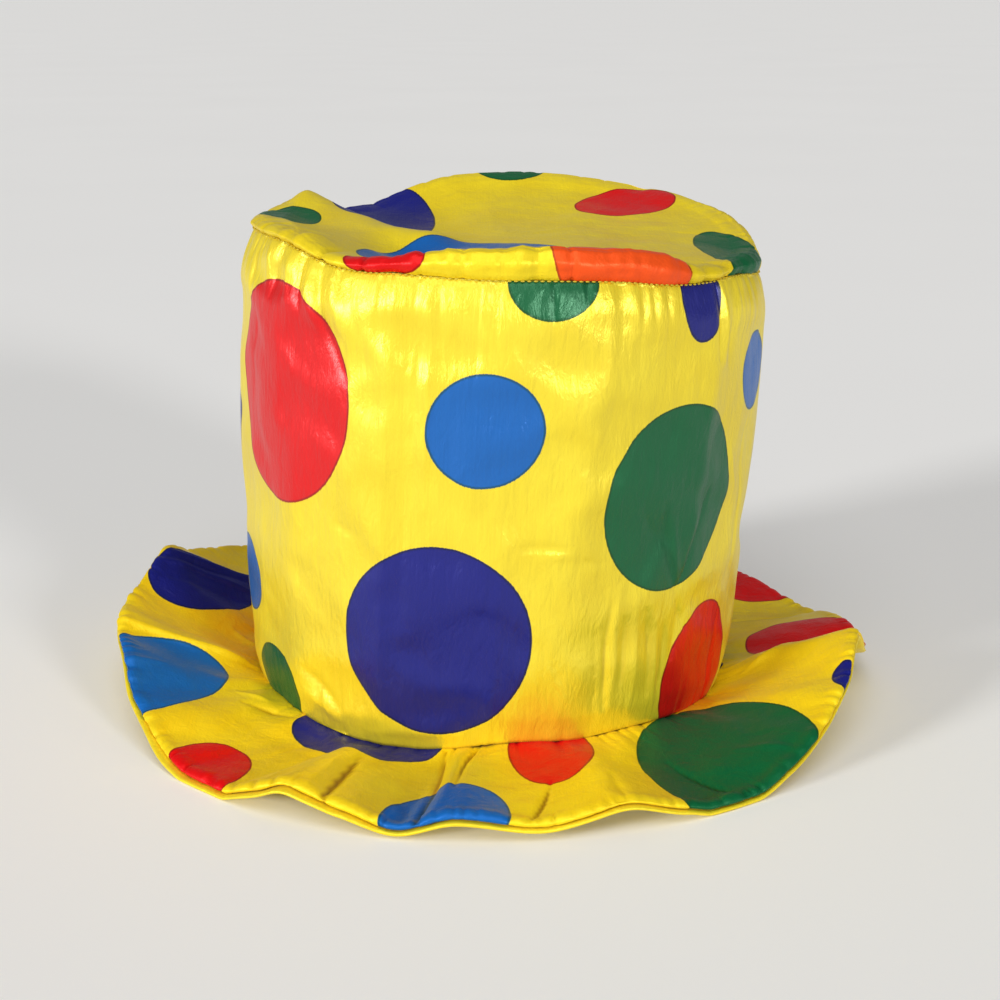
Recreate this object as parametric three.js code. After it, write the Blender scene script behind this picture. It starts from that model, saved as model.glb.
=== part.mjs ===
import * as THREE from "three";

// A clown's soft top hat of padded satin, standing on its brim.
// Millimetres, +Z up, front towards -Y, z = 0 at the surface that the hat stands on.
// Azimuths are degrees round the hat's axis: 0 right, 90 back, 180 left, 270 front.

// Driving dimensions

const HEAD_OPENING = 190; // inner diameter of the crown at its base
const WALL = 3; // satin laminated on foam, for the side and the top
const UPPER_LAYER = 2.4; // the brim's padded upper layer
const UNDER_LAYER = 1.6; // the brim's plain under layer
const SEAM_GAP = 0.3; // between pieces that are sewn together

const CROWN_HEIGHT = 182; // top seam above the surface, at the front
const CROWN_FLARE = 6; // how much the crown's radius grows from its base to its widest ring
const CROWN_LEAN = 6.3; // how far its top has shifted to the right
const CROWN_DENT = 1.6; // depth of the deepest upright dent in its side

const ROLL_HEIGHT = 11; // the rolled rim of the top above its seam
const ROLL_DEPTH = 11; // from the side's outer face in to where the roll meets the panel
const PANEL_RISE = 3; // middle of the sagging top panel above the crown's height
const PANEL_FOLD = 7; // rise of the top panel's greatest fold

const BRIM_WIDTH = 61; // from the crown's base to the edge, measured along the cloth
const BRIM_LIFT = 34.5; // highest crest of the edge above the surface
const BRIM_FOLD = 6; // rise of the greatest fold across the brim
const BASE_WAVE = 6.4; // highest stretch of the joint between the brim's layers at the crown
const UNDER_REACH = 2.5; // how far the under layer shows past the upper one at most

const STEPS_ROUND = 80; // facets round the hat

const openingRadius = HEAD_OPENING / 2;
const baseRadius = openingRadius + WALL;
const layerFloor = UNDER_LAYER + SEAM_GAP; // lowest joint between the layers, where the brim lies flat
const panelHeight = CROWN_HEIGHT + PANEL_RISE;

// Side profile: share of the height, share of the flare
const CROWN_PROFILE = [
  { at: 0, flare: 0 },
  { at: 0.08, flare: 0.38 },
  { at: 0.24, flare: 0.6 },
  { at: 0.44, flare: 0.8 },
  { at: 0.66, flare: 1 },
  { at: 0.86, flare: 1 },
  { at: 0.95, flare: 0.9 },
  { at: 1, flare: 0.5 },
];

// Top seam: its height as a share of the crown's, the rolled rim above it as a share of the roll, and
// how far the seam is drawn in as a share of the flare
const TOP_SEAM = [
  { at: 0, height: 0.95, roll: 1, draw: 0 },
  { at: 20, height: 0.981, roll: 1, draw: 0 },
  { at: 45, height: 1.014, roll: 0.95, draw: 0 },
  { at: 76, height: 1.036, roll: 1, draw: 0 },
  { at: 100, height: 1.036, roll: 1, draw: 0 },
  { at: 116, height: 1.011, roll: 0.95, draw: 0 },
  { at: 136, height: 0.984, roll: 0.85, draw: 0.1 },
  { at: 150, height: 1.022, roll: 0.75, draw: 0.1 },
  { at: 168, height: 1.034, roll: 0.5, draw: 0.15 },
  { at: 190, height: 1.045, roll: 0.4, draw: 0.25 },
  { at: 206, height: 1.05, roll: 0.36, draw: 0.2 },
  { at: 219, height: 1.042, roll: 0.42, draw: 0.15 },
  { at: 234, height: 1.015, roll: 0.36, draw: 0 },
  { at: 248, height: 1.013, roll: 0.6, draw: 0 },
  { at: 265, height: 1.007, roll: 0.95, draw: 0 },
  { at: 290, height: 0.999, roll: 1, draw: 0 },
  { at: 304, height: 0.983, roll: 1, draw: 0 },
  { at: 316, height: 0.975, roll: 0.55, draw: 0 },
  { at: 329, height: 0.974, roll: 0.58, draw: 0 },
  { at: 346, height: 0.956, roll: 0.75, draw: 0 },
];

// Upright dents and swellings in the side: spread in degrees, stretch from and to as shares of the
// height, depth as a share of the deepest dent (negative where the side swells out)
const CROWN_DENTS = [
  { at: 213, spread: 7, from: 0.1, to: 0.75, depth: 0.5 },
  { at: 236, spread: 10, from: 0, to: 0.9, depth: -0.7 },
  { at: 262, spread: 8, from: 0.3, to: 1, depth: 0.6 },
  { at: 288, spread: 12, from: 0.1, to: 1, depth: -0.5 },
  { at: 312, spread: 7, from: 0, to: 0.7, depth: 1 },
  { at: 334, spread: 8, from: 0, to: 1, depth: -0.5 },
  { at: 30, spread: 12, from: 0, to: 1, depth: 0.7 },
  { at: 85, spread: 16, from: 0, to: 1, depth: -0.6 },
  { at: 130, spread: 10, from: 0.1, to: 1, depth: 0.8 },
  { at: 165, spread: 10, from: 0, to: 1, depth: -0.4 },
];

// Rolled rim from the seam to the panel: in as a share of the roll's depth, up as a share of its
// height; tuck says which way the inner face lies from the outer one, 0 inwards to 1 downwards
const ROLL_SECTION = [
  { inward: 0, up: 0, tuck: 0 },
  { inward: -0.06, up: 0.35, tuck: 0.1 },
  { inward: 0.02, up: 0.72, tuck: 0.3 },
  { inward: 0.24, up: 0.97, tuck: 0.7 },
  { inward: 0.5, up: 1, tuck: 1 },
  { inward: 1, up: 0.84, tuck: 1 },
];

// Rings of the top panel as shares of its radius, and how much of the rim's height each one keeps
const PANEL_RINGS = [
  { reach: 0.9, rim: 0.66 },
  { reach: 0.76, rim: 0.4 },
  { reach: 0.6, rim: 0.21 },
  { reach: 0.42, rim: 0.09 },
  { reach: 0.22, rim: 0.02 },
  { reach: 0, rim: 0 },
];

// Folds of the top panel: ends as azimuth and share of the panel's radius, rise as a share of the
// greatest fold, width as a share of the crown's radius at its base
const PANEL_FOLDS = [
  { from: 158, fromReach: 1, to: 212, toReach: 0.42, rise: 0.8, width: 0.13 },
  { from: 118, fromReach: 0.75, to: 168, toReach: 0.35, rise: -0.45, width: 0.22 },
  { from: 222, fromReach: 0.62, to: 246, toReach: 0.86, rise: -0.7, width: 0.14 },
];

// Crests and hollows of the brim's edge: lift as a share of the highest crest, reach as a share of
// the brim's width, under as a share of how far the under layer shows
const BRIM_EDGE = [
  { at: 0, lift: 0.33, reach: 1.015, under: 0.2 },
  { at: 6, lift: 0.36, reach: 1.015, under: 0.2 },
  { at: 14, lift: 0.23, reach: 1.015, under: 0.2 },
  { at: 25, lift: 0.05, reach: 1.015, under: 0.2 },
  { at: 42, lift: 0.19, reach: 1, under: 0.2 },
  { at: 62, lift: 0.03, reach: 1, under: 0.3 },
  { at: 82, lift: 0.17, reach: 1, under: 0.2 },
  { at: 100, lift: 0.09, reach: 1, under: 0.2 },
  { at: 118, lift: 0.02, reach: 1.02, under: 0.3 },
  { at: 130, lift: 0.3, reach: 1.04, under: 0.2 },
  { at: 140, lift: 0.56, reach: 1.05, under: 0.2 },
  { at: 154, lift: 0.82, reach: 1.06, under: 0.1 },
  { at: 165, lift: 1, reach: 1.06, under: 0.1 },
  { at: 176, lift: 0.97, reach: 1.06, under: 0.1 },
  { at: 188, lift: 0.74, reach: 1.03, under: 0.2 },
  { at: 198, lift: 0.7, reach: 1, under: 0.3 },
  { at: 206, lift: 0.48, reach: 0.98, under: 0.5 },
  { at: 213, lift: 0.3, reach: 0.96, under: 0.7 },
  { at: 222, lift: 0.09, reach: 0.97, under: 1 },
  { at: 231, lift: 0.05, reach: 0.98, under: 0.6 },
  { at: 243, lift: 0.29, reach: 1, under: 1 },
  { at: 251, lift: 0.22, reach: 1, under: 0.8 },
  { at: 259, lift: 0.1, reach: 1, under: 0.4 },
  { at: 266, lift: 0.23, reach: 1, under: 0.5 },
  { at: 277, lift: 0.14, reach: 1, under: 0.3 },
  { at: 287, lift: 0.255, reach: 1, under: 0.4 },
  { at: 296, lift: 0.13, reach: 1.01, under: 0.3 },
  { at: 304, lift: 0.03, reach: 1.02, under: 0.2 },
  { at: 313, lift: 0.19, reach: 1.03, under: 0.2 },
  { at: 322, lift: 0.42, reach: 1.03, under: 0.1 },
  { at: 333, lift: 0.68, reach: 1.035, under: 0.1 },
  { at: 345, lift: 0.83, reach: 1.035, under: 0.1 },
  { at: 350, lift: 0.59, reach: 1.02, under: 0.1 },
  { at: 356, lift: 0.39, reach: 1.02, under: 0.1 },
];

// Joint between the brim's layers where the crown stands on it, as a share of its highest stretch
const BRIM_BASE = [
  { at: 0, height: 0.7 },
  { at: 20, height: 0.47 },
  { at: 60, height: 0.78 },
  { at: 100, height: 0.39 },
  { at: 135, height: 0.78 },
  { at: 160, height: 0.62 },
  { at: 189, height: 0.55 },
  { at: 209, height: 0.78 },
  { at: 230, height: 0.39 },
  { at: 243, height: 0.31 },
  { at: 260, height: 0.52 },
  { at: 274, height: 1 },
  { at: 290, height: 0.84 },
  { at: 304, height: 0.89 },
  { at: 327, height: 0.47 },
  { at: 341, height: 0.31 },
  { at: 348, height: 0.86 },
];

// Folds across the brim: ends as azimuth and share of the width, rise as a share of the greatest
// fold (negative for a crease), width as a share of the brim's width
const BRIM_FOLDS = [
  { from: 348, fromReach: 0, to: 345, toReach: 0.85, rise: 0.5, width: 0.16 },
  { from: 136, fromReach: 0.05, to: 163, toReach: 0.85, rise: 1, width: 0.2 },
  { from: 191, fromReach: 0.05, to: 187, toReach: 0.85, rise: 0.8, width: 0.16 },
  { from: 176, fromReach: 0.2, to: 175, toReach: 0.9, rise: -0.5, width: 0.2 },
  { from: 243, fromReach: 0.15, to: 243, toReach: 0.95, rise: 0.45, width: 0.12 },
  { from: 236, fromReach: 0.3, to: 232, toReach: 0.9, rise: -0.3, width: 0.12 },
  { from: 259, fromReach: 0.1, to: 258, toReach: 0.9, rise: -0.3, width: 0.1 },
  { from: 287, fromReach: 0.3, to: 288, toReach: 0.95, rise: 0.25, width: 0.14 },
];

const BRIM_BEND = 1.1; // above 1 the brim leaves the crown flat and curls up towards its edge
const BRIM_SHARES = [0, 0.12, 0.32, 0.54, 0.76, 0.93, 0.98]; // rings across the brim
const SIDE_OUTER_SHARES = [0, 0.07, 0.17, 0.31, 0.46, 0.61, 0.76, 0.88, 0.95, 1];
const SIDE_INNER_SHARES = [1, 0.85, 0.6, 0.3, 0.08, 0];
const LEAN_BEND = 1.3; // the crown leans more and more towards its top
const FOLD_FADE = 0.3; // share of the brim's width over which its folds grow out of the crown's base
const DRAW_START = 0.88; // share of the side's height above which its seam draws it in
const DENT_FADE = 0.1; // share of the side's height over which its dents grow out of a seam

// Curves through tables

const FULL_TURN = 360;
const FRONT = 270;
const CORNERS_A_FACET = 6; // a four-sided facet is two triangles
const { clamp, euclideanModulo, smoothstep, degToRad, lerp } = THREE.MathUtils;

// A smooth curve through one column of a table, evaluated at a place along its "at" column.
// With a period the table closes on itself, and without one the curve ends at its outer rows.
function curveOf(table, column, period = 0) {
  const count = table.length;
  const turns = (i) => (period ? Math.floor(i / count) : 0);
  const rowOf = (i) => table[period ? i - turns(i) * count : clamp(i, 0, count - 1)];
  const at = (i) => rowOf(i).at + turns(i) * period;
  const value = (i) => rowOf(i)[column];
  const slope = (i) => (value(i + 1) - value(i - 1)) / (at(i + 1) - at(i - 1));
  const last = period ? count - 1 : count - 2;
  return (place) => {
    const here = period ? euclideanModulo(place - table[0].at, period) + table[0].at : place;
    let i = 0;
    while (i < last && at(i + 1) <= here) {
      i += 1;
    }
    const span = at(i + 1) - at(i);
    const t = (here - at(i)) / span;
    const leaving = value(i) + t * span * slope(i);
    const arriving = value(i + 1) - (1 - t) * span * slope(i + 1);
    return lerp(leaving, arriving, smoothstep(t, 0, 1));
  };
}

const flareAt = curveOf(CROWN_PROFILE, "flare");
const seamShareAt = curveOf(TOP_SEAM, "height", FULL_TURN);
const rollShareAt = curveOf(TOP_SEAM, "roll", FULL_TURN);
const drawShareAt = curveOf(TOP_SEAM, "draw", FULL_TURN);
const edgeLiftAt = curveOf(BRIM_EDGE, "lift", FULL_TURN);
const edgeReachAt = curveOf(BRIM_EDGE, "reach", FULL_TURN);
const underShareAt = curveOf(BRIM_EDGE, "under", FULL_TURN);
const baseShareAt = curveOf(BRIM_BASE, "height", FULL_TURN);

const bell = (distance) => Math.exp(-distance * distance);

// Smallest signed angle from one azimuth to another
const between = (from, to) => euclideanModulo(to - from + FULL_TURN / 2, FULL_TURN) - FULL_TURN / 2;

function polar(radius, azimuth) {
  const angle = degToRad(azimuth);
  return new THREE.Vector2(radius * Math.cos(angle), radius * Math.sin(angle));
}

// Height of a table of folds at a point in plan, each a bell-shaped ridge along a straight line
function foldsAt(folds, point, radiusOf, greatestRise, widthUnit) {
  return folds.reduce((sum, fold) => {
    const start = polar(radiusOf(fold.from, fold.fromReach), fold.from);
    const line = polar(radiusOf(fold.to, fold.toReach), fold.to).sub(start);
    const along = clamp(point.clone().sub(start).dot(line) / line.lengthSq(), 0, 1);
    const distance = point.distanceTo(start.addScaledVector(line, along));
    return sum + greatestRise * fold.rise * bell(distance / (fold.width * widthUnit));
  }, 0);
}

// Brim

// How far the edge reaches out in plan: the width lies along the cloth, so a raised edge reaches less
function brimReach(azimuth) {
  const width = BRIM_WIDTH * edgeReachAt(azimuth);
  const rise = BRIM_LIFT * edgeLiftAt(azimuth);
  return Math.sqrt(width * width - rise * rise);
}

const brimRadius = (azimuth, share) => baseRadius + share * brimReach(azimuth);

// Height of the joint between the brim's layers, flat where the brim lies on the surface
function brimJoint(azimuth, share) {
  const base = BASE_WAVE * baseShareAt(azimuth);
  const edge = BRIM_LIFT * edgeLiftAt(azimuth);
  const point = polar(brimRadius(azimuth, share), azimuth);
  const fold = foldsAt(BRIM_FOLDS, point, brimRadius, BRIM_FOLD, BRIM_WIDTH);
  const height = lerp(base, edge, Math.pow(share, BRIM_BEND)) + fold * smoothstep(share, 0, FOLD_FADE);
  return Math.max(height, layerFloor);
}

// A row of the brim's section: share of the width (the margin under the crown has none), height
// above the joint between the layers, and whether it stands out with the under layer's edge
function brimRow(share, above, standsOut = false) {
  const margin = share === null;
  const radius = margin ? openingRadius : baseRadius + share * BRIM_WIDTH;
  return { share: share ?? 0, margin, above, standsOut, radius, height: layerFloor + above };
}

function brimPlace(azimuth, row) {
  const past = row.standsOut ? UNDER_REACH * underShareAt(azimuth) : 0;
  const radius = row.margin ? openingRadius : brimRadius(azimuth, row.share) + past;
  const { x, y } = polar(radius, azimuth);
  return new THREE.Vector3(x, y, brimJoint(azimuth, row.share) + row.above);
}

// A brim layer between two heights above the joint, with a rounded edge
function brimSection(bottom, top, standsOut) {
  const shares = [null, ...BRIM_SHARES];
  return [
    ...shares.map((share) => brimRow(share, bottom)),
    brimRow(1, (bottom + top) / 2, standsOut),
    ...shares.reverse().map((share) => brimRow(share, top)),
  ];
}

// Crown side

const baseHeight = (azimuth) => brimJoint(azimuth, 0) + UPPER_LAYER + SEAM_GAP;
const seamHeight = (azimuth) => CROWN_HEIGHT * seamShareAt(azimuth);

function dentsAt(azimuth, share) {
  const fade = smoothstep(share, 0, DENT_FADE) * smoothstep(1 - share, 0, DENT_FADE);
  return CROWN_DENTS.reduce((sum, dent) => {
    const middle = (dent.from + dent.to) / 2;
    const upright = bell((2 * (share - middle)) / (dent.to - dent.from));
    return sum + CROWN_DENT * dent.depth * bell(between(azimuth, dent.at) / dent.spread) * upright * fade;
  }, 0);
}

function sideRadius(azimuth, share) {
  const drawnIn = drawShareAt(azimuth) * smoothstep(share, DRAW_START, 1);
  return baseRadius + CROWN_FLARE * (flareAt(share) - drawnIn) - dentsAt(azimuth, share);
}

const leanAt = (share) => CROWN_LEAN * Math.pow(share, LEAN_BEND);

function sideRow(share, depth) {
  return { share, depth, radius: baseRadius - depth, height: share * CROWN_HEIGHT };
}

function sidePlace(azimuth, row) {
  const { x, y } = polar(sideRadius(azimuth, row.share) - row.depth, azimuth);
  const height = lerp(baseHeight(azimuth), seamHeight(azimuth), row.share);
  return new THREE.Vector3(x + leanAt(row.share), y, height);
}

const sideSection = () => [
  ...SIDE_OUTER_SHARES.map((share) => sideRow(share, 0)),
  ...SIDE_INNER_SHARES.map((share) => sideRow(share, WALL)),
];

// Crown top

const rimRadius = (azimuth) => sideRadius(azimuth, 1);
const panelRadius = (azimuth, reach) => (rimRadius(azimuth) - ROLL_DEPTH) * reach;

// A row of the rolled rim; the inner face lies one wall further in or down
function rollRow({ inward, up, tuck }, wall) {
  const shift = new THREE.Vector2(1 - tuck, tuck).setLength(wall);
  const radius = baseRadius - inward * ROLL_DEPTH - shift.x;
  return { inward, up, shift, radius, height: CROWN_HEIGHT + up * ROLL_HEIGHT - shift.y };
}

const panelRow = ({ reach, rim }, wall) => ({
  reach,
  rim,
  wall,
  radius: (baseRadius - ROLL_DEPTH) * reach,
  height: panelHeight - wall,
});

function rollHeight(azimuth, up) {
  return seamHeight(azimuth) + SEAM_GAP + up * ROLL_HEIGHT * rollShareAt(azimuth);
}

function rollPoint(azimuth, row) {
  const radius = rimRadius(azimuth) - row.inward * ROLL_DEPTH - row.shift.x;
  const { x, y } = polar(radius, azimuth);
  return new THREE.Vector3(x + CROWN_LEAN, y, rollHeight(azimuth, row.up) - row.shift.y);
}

// The panel sags from the roll's inner end to its middle, with folds across it
function panelPoint(azimuth, row) {
  const rim = rollHeight(azimuth, ROLL_SECTION.at(-1).up);
  const point = polar(panelRadius(azimuth, row.reach), azimuth);
  const fold = foldsAt(PANEL_FOLDS, point, panelRadius, PANEL_FOLD, baseRadius);
  const height = lerp(panelHeight, rim, row.rim) + fold - row.wall;
  return new THREE.Vector3(point.x + CROWN_LEAN, point.y, height);
}

const topPlace = (azimuth, row) => ("reach" in row ? panelPoint(azimuth, row) : rollPoint(azimuth, row));

function topSection() {
  const outer = [
    ...ROLL_SECTION.map((row) => rollRow(row, 0)),
    ...PANEL_RINGS.map((row) => panelRow(row, 0)),
  ];
  const inner = [
    ...ROLL_SECTION.map((row) => rollRow(row, WALL)),
    ...PANEL_RINGS.map((row) => panelRow(row, WALL)),
  ];
  return [...inner.reverse(), ...outer];
}

// Pieces

// Splits each four-sided facet of a lathe along its shorter diagonal, so that two faces that lie on
// each other split alike
function splitShort(geometry) {
  const position = geometry.getAttribute("position");
  const corner = (i) => new THREE.Vector3().fromBufferAttribute(position, i);
  const index = Array.from(geometry.getIndex().array);
  for (let i = 0; i < index.length; i += CORNERS_A_FACET) {
    const [a, b, d, c] = index.slice(i, i + 4);
    if (corner(a).distanceTo(corner(c)) < corner(b).distanceTo(corner(d))) {
      index.splice(i, CORNERS_A_FACET, a, b, c, a, c, d);
    }
  }
  geometry.setIndex(index);
}

// Turns a section round the axis, from the front, and moves each of its points to its true place.
// A section that doesn't start on the axis is closed on itself.
function turned(section, place) {
  const rows = section[0].radius > 0 ? [...section, section[0]] : section;
  const outline = rows.map((row) => new THREE.Vector2(row.radius, row.height));
  const geometry = new THREE.LatheGeometry(outline, STEPS_ROUND);
  const position = geometry.getAttribute("position");
  for (let i = 0; i < position.count; i += 1) {
    const step = Math.floor(i / rows.length) % STEPS_ROUND;
    const point = place(FRONT + (FULL_TURN * step) / STEPS_ROUND, rows[i % rows.length]);
    position.setXYZ(i, point.x, point.y, point.z);
  }
  splitShort(geometry);
  geometry.computeVertexNormals();
  return geometry;
}

// Satin: sRGB colour of the ground that the dots are printed on, a soft shine and no metal
const satin = (color) => new THREE.MeshStandardMaterial({ color, roughness: 0.38, metalness: 0 });

function piece(name, section, place, color) {
  const mesh = new THREE.Mesh(turned(section, place), satin(color));
  mesh.name = name;
  return mesh;
}

const hat = new THREE.Group();
hat.name = "clown_hat";
hat.add(
  piece("crown_side", sideSection(), sidePlace, 0xf4de2c),
  piece("crown_top", topSection(), topPlace, 0xe2c62a),
  piece("brim_upper", brimSection(0, UPPER_LAYER, false), brimPlace, 0xf0cc1c),
  piece("brim_under", brimSection(-layerFloor, -SEAM_GAP, true), brimPlace, 0xd8b01c),
);

// The origin lies under the middle of the hat's box
const middle = new THREE.Box3().setFromObject(hat).getCenter(new THREE.Vector3());
hat.position.set(-middle.x, -middle.y, 0);

export default hat;
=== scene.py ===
"""A clown's soft top hat of padded satin, printed with polka dots, standing on its brim.

Every piece is a closed surface worked out with numpy on a grid: columns are azimuths round the hat
(0 right, 90 back, 180 left, 270 front) and rows walk along the piece's section. Lengths are in
millimetres until a surface goes into its mesh, which is in metres.
"""

import math

import bpy
import numpy as np
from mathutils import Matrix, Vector


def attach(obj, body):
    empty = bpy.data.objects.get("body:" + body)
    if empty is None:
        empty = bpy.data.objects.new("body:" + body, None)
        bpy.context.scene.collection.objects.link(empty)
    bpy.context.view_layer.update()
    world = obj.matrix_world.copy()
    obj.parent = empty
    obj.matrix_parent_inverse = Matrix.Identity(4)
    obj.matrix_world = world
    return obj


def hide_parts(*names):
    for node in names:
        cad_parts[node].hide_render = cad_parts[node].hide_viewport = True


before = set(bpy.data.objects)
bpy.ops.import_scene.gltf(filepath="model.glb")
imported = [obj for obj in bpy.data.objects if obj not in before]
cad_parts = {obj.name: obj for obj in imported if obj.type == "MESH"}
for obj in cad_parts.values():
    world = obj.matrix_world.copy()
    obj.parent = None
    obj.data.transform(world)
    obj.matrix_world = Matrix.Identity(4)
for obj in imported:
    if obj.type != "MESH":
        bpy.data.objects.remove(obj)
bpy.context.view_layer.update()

join = np.concatenate

METRES = 0.001  # a millimetre
FULL_TURN = 360.0
FRONT = 270.0

# Main sizes, the same as the solids'

OPENING_RADIUS = 95.0
WALL = 3.0
BASE_RADIUS = OPENING_RADIUS + WALL
UPPER_LAYER = 2.4
UNDER_LAYER = 1.6
SEAM_GAP = 0.3
LAYER_FLOOR = UNDER_LAYER + SEAM_GAP
CROWN_HEIGHT = 182.0
CROWN_FLARE = 6.0
CROWN_LEAN = 6.3
CROWN_DENT = 1.6
ROLL_HEIGHT = 11.0
ROLL_DEPTH = 11.0
PANEL_HEIGHT = CROWN_HEIGHT + 3.0
PANEL_FOLD = 7.0
BRIM_WIDTH = 61.0
BRIM_LIFT = 34.5
BRIM_FOLD = 6.0
BASE_WAVE = 6.4
UNDER_REACH = 2.5
BRIM_BEND = 1.1
LEAN_BEND = 1.3
FOLD_FADE = 0.3
DRAW_START = 0.88
DENT_FADE = 0.1
CREST = 0.35  # least rounding of a crease's crest
CREST_SHARE = 0.12  # and what a crease's width adds to it
TAPER_END = 0.06  # a crease's ends keep the height that it has this share in from them
WAVE_COUNT = 22
EDGE_BULGE = 0.75  # the brim's rounded edge reaches this share of a layer's thickness
SOLID_STEPS = 80  # facets round the solids, whose box is centred on the origin

# Side profile: share of the height, share of the flare
CROWN_PROFILE = np.array([
    (0, 0), (0.08, 0.38), (0.24, 0.6), (0.44, 0.8), (0.66, 1), (0.86, 1), (0.95, 0.9), (1, 0.5),
])

# Top seam: azimuth, height, rolled rim above it, how far the seam is drawn in
TOP_SEAM = np.array([
    (0, 0.95, 1, 0), (20, 0.981, 1, 0), (45, 1.014, 0.95, 0), (76, 1.036, 1, 0),
    (100, 1.036, 1, 0), (116, 1.011, 0.95, 0), (136, 0.984, 0.85, 0.1),
    (150, 1.022, 0.75, 0.1), (168, 1.034, 0.5, 0.15), (190, 1.045, 0.4, 0.25),
    (206, 1.05, 0.36, 0.2), (219, 1.042, 0.42, 0.15), (234, 1.015, 0.36, 0),
    (248, 1.013, 0.6, 0), (265, 1.007, 0.95, 0), (290, 0.999, 1, 0), (304, 0.983, 1, 0),
    (316, 0.975, 0.55, 0), (329, 0.974, 0.58, 0), (346, 0.956, 0.75, 0),
])

# Upright dents: azimuth, spread in degrees, from, to, depth
CROWN_DENTS = (
    (213, 7, 0.1, 0.75, 0.5), (236, 10, 0, 0.9, -0.7), (262, 8, 0.3, 1, 0.6),
    (288, 12, 0.1, 1, -0.5), (312, 7, 0, 0.7, 1), (334, 8, 0, 1, -0.5), (30, 12, 0, 1, 0.7),
    (85, 16, 0, 1, -0.6), (130, 10, 0.1, 1, 0.8), (165, 10, 0, 1, -0.4),
)

# Rolled rim: place along it, inward, up, tuck
ROLL_SECTION = np.array([
    (0, 0, 0, 0), (1, -0.06, 0.35, 0.1), (2, 0.02, 0.72, 0.3), (3, 0.24, 0.97, 0.7),
    (4, 0.5, 1, 1), (5, 1, 0.84, 1),
])
ROLL_END = 5
RIM_END_UP = 0.84

# Sagging panel: share of its radius, share of the rim's height that it keeps
PANEL_SAG = np.array([
    (0, 0), (0.22, 0.02), (0.42, 0.09), (0.6, 0.21), (0.76, 0.4), (0.9, 0.66), (1, 1),
])

# Folds: from azimuth and reach, to azimuth and reach, rise, width
PANEL_FOLDS = (
    (158, 1, 212, 0.42, 0.8, 0.13), (118, 0.75, 168, 0.35, -0.45, 0.22),
    (222, 0.62, 246, 0.86, -0.7, 0.14),
)
BRIM_FOLDS = (
    (348, 0, 345, 0.85, 0.5, 0.16), (136, 0.05, 163, 0.85, 1, 0.2),
    (191, 0.05, 187, 0.85, 0.8, 0.16), (176, 0.2, 175, 0.9, -0.5, 0.2),
    (243, 0.15, 243, 0.95, 0.45, 0.12), (236, 0.3, 232, 0.9, -0.3, 0.12),
    (259, 0.1, 258, 0.9, -0.3, 0.1), (287, 0.3, 288, 0.95, 0.25, 0.14),
)

# Edge of the brim: azimuth, lift, reach, how far the under layer shows
BRIM_EDGE = np.array([
    (0, 0.33, 1.015, 0.2), (6, 0.36, 1.015, 0.2), (14, 0.23, 1.015, 0.2), (25, 0.05, 1.015, 0.2),
    (42, 0.19, 1, 0.2), (62, 0.03, 1, 0.3), (82, 0.17, 1, 0.2), (100, 0.09, 1, 0.2),
    (118, 0.02, 1.02, 0.3), (130, 0.3, 1.04, 0.2), (140, 0.56, 1.05, 0.2),
    (154, 0.82, 1.06, 0.1), (165, 1, 1.06, 0.1), (176, 0.97, 1.06, 0.1), (188, 0.74, 1.03, 0.2),
    (198, 0.7, 1, 0.3), (206, 0.48, 0.98, 0.5), (213, 0.3, 0.96, 0.7), (222, 0.09, 0.97, 1),
    (231, 0.05, 0.98, 0.6), (243, 0.29, 1, 1), (251, 0.22, 1, 0.8), (259, 0.1, 1, 0.4),
    (266, 0.23, 1, 0.5), (277, 0.14, 1, 0.3), (287, 0.255, 1, 0.4), (296, 0.13, 1.01, 0.3),
    (304, 0.03, 1.02, 0.2), (313, 0.19, 1.03, 0.2), (322, 0.42, 1.03, 0.1),
    (333, 0.68, 1.035, 0.1), (345, 0.83, 1.035, 0.1), (350, 0.59, 1.02, 0.1),
    (356, 0.39, 1.02, 0.1),
])
BRIM_BASE = np.array([
    (0, 0.7), (20, 0.47), (60, 0.78), (100, 0.39), (135, 0.78), (160, 0.62), (189, 0.55),
    (209, 0.78), (230, 0.39), (243, 0.31), (260, 0.52), (274, 1), (290, 0.84), (304, 0.89),
    (327, 0.47), (341, 0.31), (348, 0.86),
])


# Curves, folds and creases


def step(place, low, high):
    """Rises from 0 at low to 1 at high along an S: 3t^2 - 2t^3 of the clamped share t."""
    t = np.clip((place - low) / (high - low), 0, 1)
    return t * t * (3 - 2 * t)


def bell(distance):
    """e to the minus distance squared."""
    return np.exp(-distance * distance)


def curve(table, column, place, period=0.0):
    """Smooth curve through one column of a table: between two rows it blends their tangent
    lines by an S-shaped weight. With a period it closes on itself."""
    at, value = table[:, 0], table[:, column]
    if period:
        at = join([[at[-1] - period], at, at[:2] + period])
        value = join([value[-1:], value, value[:2]])
        place = (place - at[1]) % period + at[1]
    else:
        at = join([at[:1], at, at[-1:]])
        value = join([value[:1], value, value[-1:]])
    slope = (value[2:] - value[:-2]) / (at[2:] - at[:-2])
    at, value = at[1:-1], value[1:-1]
    i = np.clip(np.searchsorted(at, place, side="right") - 1, 0, len(at) - 2)
    span = at[i + 1] - at[i]
    t = (place - at[i]) / span
    leaving = value[i] + t * span * slope[i]
    arriving = value[i + 1] - (1 - t) * span * slope[i + 1]
    return leaving + (arriving - leaving) * step(t, 0, 1)


def between(start, end):
    """Smallest signed angle from one azimuth to another."""
    return (end - start + FULL_TURN / 2) % FULL_TURN - FULL_TURN / 2


def polar(radius, azimuth):
    """The plan point at a radius and an azimuth in degrees."""
    angle = np.radians(azimuth)
    return np.stack([radius * np.cos(angle), radius * np.sin(angle)], -1)


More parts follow.
